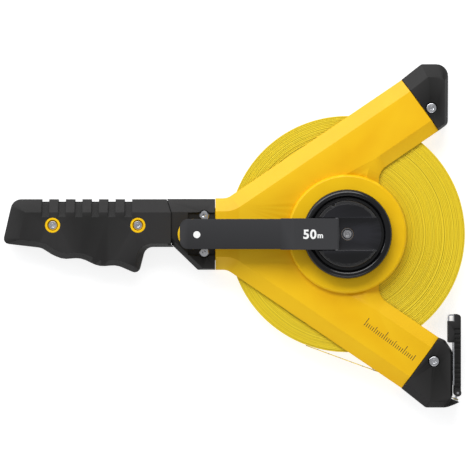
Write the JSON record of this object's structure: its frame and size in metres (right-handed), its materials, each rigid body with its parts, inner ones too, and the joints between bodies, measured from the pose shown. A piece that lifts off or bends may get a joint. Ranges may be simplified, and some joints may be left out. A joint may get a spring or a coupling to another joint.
{
  "type": "surveyor tape reel",
  "caption": "Open-frame measuring tape reel with a Y-shaped frame, wound tape, folding crank, finger-grooved handle and a folding end bow.",
  "frame": {"origin": "where the hub axis meets the flat back of the reel, on which it lies", "axes": "+Z along the hub axis from the back to the crank; +X from the handle towards the arm ends; +Y towards the arm end that has no mouth"},
  "size_m": [0.3879, 0.2888, 0.053],
  "materials": {
    "yellow_plastic": "satin moulded plastic",
    "black_plastic": "fine grained moulded plastic",
    "hub_plastic": "glossy moulded plastic",
    "gear_nylon": "natural moulded plastic",
    "tape_yellow": "coated glass fibre ribbon",
    "zinc_steel": "bright zinc",
    "bronze": "sintered bush metal"
  },
  "bodies": {
    "frame": {"front_frame": "yellow_plastic", "rear_frame": "yellow_plastic", "gear_cover": "yellow_plastic", "ring_gear": "gear_nylon", "rear_bearing_cover": "yellow_plastic", "axle": "zinc_steel", "axle_washer": "zinc_steel", "axle_screw": "zinc_steel", "neck_cover_front": "black_plastic", "neck_cover_rear": "black_plastic", "neck_screws": "zinc_steel", "neck_nuts": "zinc_steel", "handle_core": "yellow_plastic", "grip_front": "black_plastic", "grip_rear": "black_plastic", "handle_screws": "zinc_steel", "handle_nuts": "zinc_steel", "end_cap_front": "black_plastic", "end_cap_rear": "black_plastic", "mouth_cap_front": "black_plastic", "mouth_cap_rear": "black_plastic", "cap_screws": "zinc_steel", "cap_nuts": "zinc_steel", "guide_pins": "zinc_steel", "tape_lead": "tape_yellow"},
    "reel": {"reel_drum": "black_plastic", "sun_gear": "gear_nylon", "reel_bushings": "bronze", "tape_coil": "tape_yellow", "tape_clip": "zinc_steel"},
    "crank": {"planet_carrier": "zinc_steel", "crank_bushing": "bronze", "crank_hub": "hub_plastic", "hub_screws": "zinc_steel", "fold_pin": "zinc_steel"},
    "planet_1": {"planet_gear_1": "gear_nylon"},
    "planet_2": {"planet_gear_2": "gear_nylon"},
    "planet_3": {"planet_gear_3": "gear_nylon"},
    "arm": {"crank_arm": "black_plastic", "knob_stud": "zinc_steel", "knob_screw": "zinc_steel"},
    "knob": {"crank_knob": "yellow_plastic"},
    "tape_end": {"tape_tongue": "tape_yellow", "tape_end_fitting": "zinc_steel", "bow_pin": "zinc_steel"},
    "bow": {"bow_hook": "zinc_steel", "bow_grip": "black_plastic"}
  },
  "joints": [
    {"name": "crank_spin", "type": "hinge", "parent": "frame", "child": "crank", "pos_m": [0, 0, 0.035], "axis": [0, 0, 1], "continuous": true},
    {"name": "reel_spin", "type": "hinge", "parent": "frame", "child": "reel", "pos_m": [0, 0, 0.015], "axis": [0, 0, 1], "continuous": true},
    {"name": "crank_fold", "type": "hinge", "parent": "crank", "child": "arm", "pos_m": [-0.0092, 0, 0.05], "axis": [0, 1, 0], "range_deg": [0, 180]},
    {"name": "knob_spin", "type": "hinge", "parent": "arm", "child": "knob", "pos_m": [-0.1294, 0, 0.036], "axis": [0, 0, 1], "continuous": true},
    {"name": "tape_pull", "type": "slide", "parent": "frame", "child": "tape_end", "axis": [0.9397, -0.342, 0], "range_m": [0, 0.06]},
    {"name": "bow_fold", "type": "hinge", "parent": "tape_end", "child": "bow", "pos_m": [0.0932, -0.1336, 0.015], "axis": [0, 0, -1], "range_deg": [0, 110]},
    {"name": "planet_spin_1", "type": "hinge", "parent": "crank", "child": "planet_1", "pos_m": [0.0288, 0, 0.0262], "axis": [0, 0, 1], "continuous": true},
    {"name": "planet_spin_2", "type": "hinge", "parent": "crank", "child": "planet_2", "pos_m": [-0.0144, 0.02494, 0.0262], "axis": [0, 0, 1], "continuous": true},
    {"name": "planet_spin_3", "type": "hinge", "parent": "crank", "child": "planet_3", "pos_m": [-0.0144, -0.02494, 0.0262], "axis": [0, 0, 1], "continuous": true}
  ],
  "couplings": [
    {"joint": "reel_spin", "follows": "crank_spin", "ratio": 3},
    {"joint": "planet_spin_1", "follows": "crank_spin", "ratio": -4},
    {"joint": "planet_spin_2", "follows": "crank_spin", "ratio": -4},
    {"joint": "planet_spin_3", "follows": "crank_spin", "ratio": -4}
  ]
}
